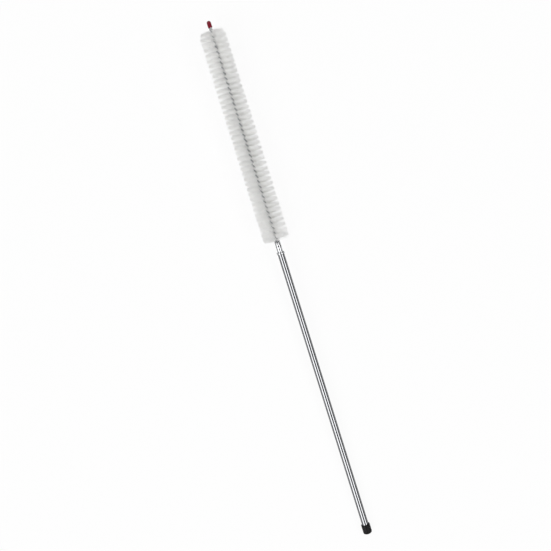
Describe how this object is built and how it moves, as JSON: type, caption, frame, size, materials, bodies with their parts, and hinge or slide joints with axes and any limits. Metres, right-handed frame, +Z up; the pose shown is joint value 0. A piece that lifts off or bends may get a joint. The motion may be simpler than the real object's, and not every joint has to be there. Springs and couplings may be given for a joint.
{
  "type": "bottle brush",
  "caption": "Long bottle brush: white nylon bristles in a twisted wire core with a red tip, on a slim polished steel tube handle with a black rubber end cap.",
  "frame": {"origin": "on the floor under the middle of the brush as it lies at rest", "axes": "+X along the brush towards the red tip, +Z up; the brush's own axis rises towards the tip by about 1.6 degrees"},
  "size_m": [0.9778, 0.05, 0.059],
  "materials": {
    "nylon_filaments": "matte",
    "wire_steel": "satin",
    "red_plastic": "gloss",
    "ferrule_steel": "polished",
    "tube_steel": "polished",
    "black_rubber": "matte"
  },
  "bodies": {
    "root": {"bristles": "nylon_filaments", "stem_wire": "wire_steel", "tip_cap": "red_plastic", "ferrule": "ferrule_steel", "handle_tube": "tube_steel", "end_cap": "black_rubber"}
  },
  "joints": []
}
